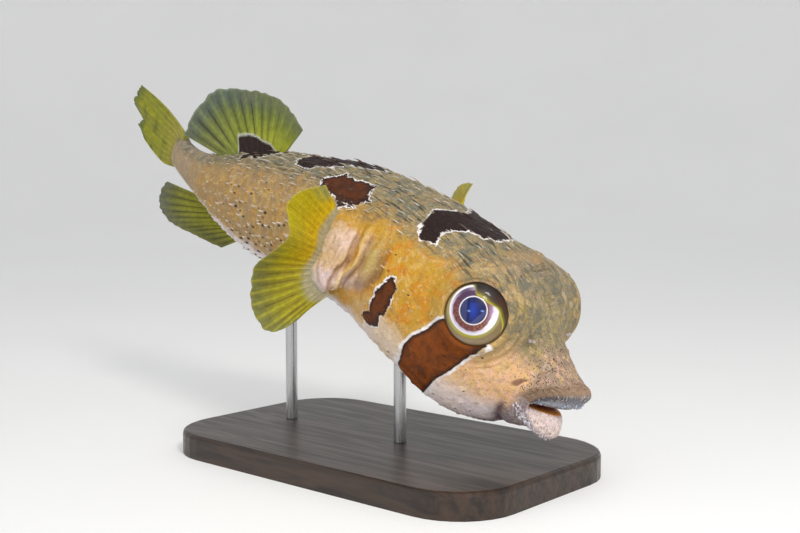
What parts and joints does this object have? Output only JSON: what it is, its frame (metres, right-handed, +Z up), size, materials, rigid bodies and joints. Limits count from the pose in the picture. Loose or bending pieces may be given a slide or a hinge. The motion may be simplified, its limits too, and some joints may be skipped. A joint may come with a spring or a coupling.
{
  "type": "masked porcupinefish model",
  "caption": "Life-size still model of a spiny, round-bodied reef fish with large eyes and fan fins, swimming head down, held by two rods on a flat display base.",
  "frame": {"origin": "centre of the stand base's underside, on the surface that it stands on", "axes": "+X the way the fish swims, +Z up, the fish's right side towards -Y"},
  "size_m": [0.3236, 0.1495, 0.1933],
  "materials": {
    "skin": "satin, moist-looking skin, ochre with dark blotches and a pale belly",
    "eye": "glossy, clear over a blue pupil and a silver and maroon iris",
    "fin": "satin, thin and slightly translucent, yellow-green",
    "stand_base": "satin",
    "stand_rod": "brushed"
  },
  "bodies": {
    "root": {"head": "skin", "torso": "skin", "tail": "skin", "eye_right": "eye", "eye_left": "eye", "dorsal_fin": "fin", "anal_fin": "fin", "caudal_fin": "fin", "pectoral_fin_right": "fin", "pectoral_fin_left": "fin", "stand_base": "stand_base", "stand_rod_front": "stand_rod", "stand_rod_rear": "stand_rod"}
  },
  "joints": []
}
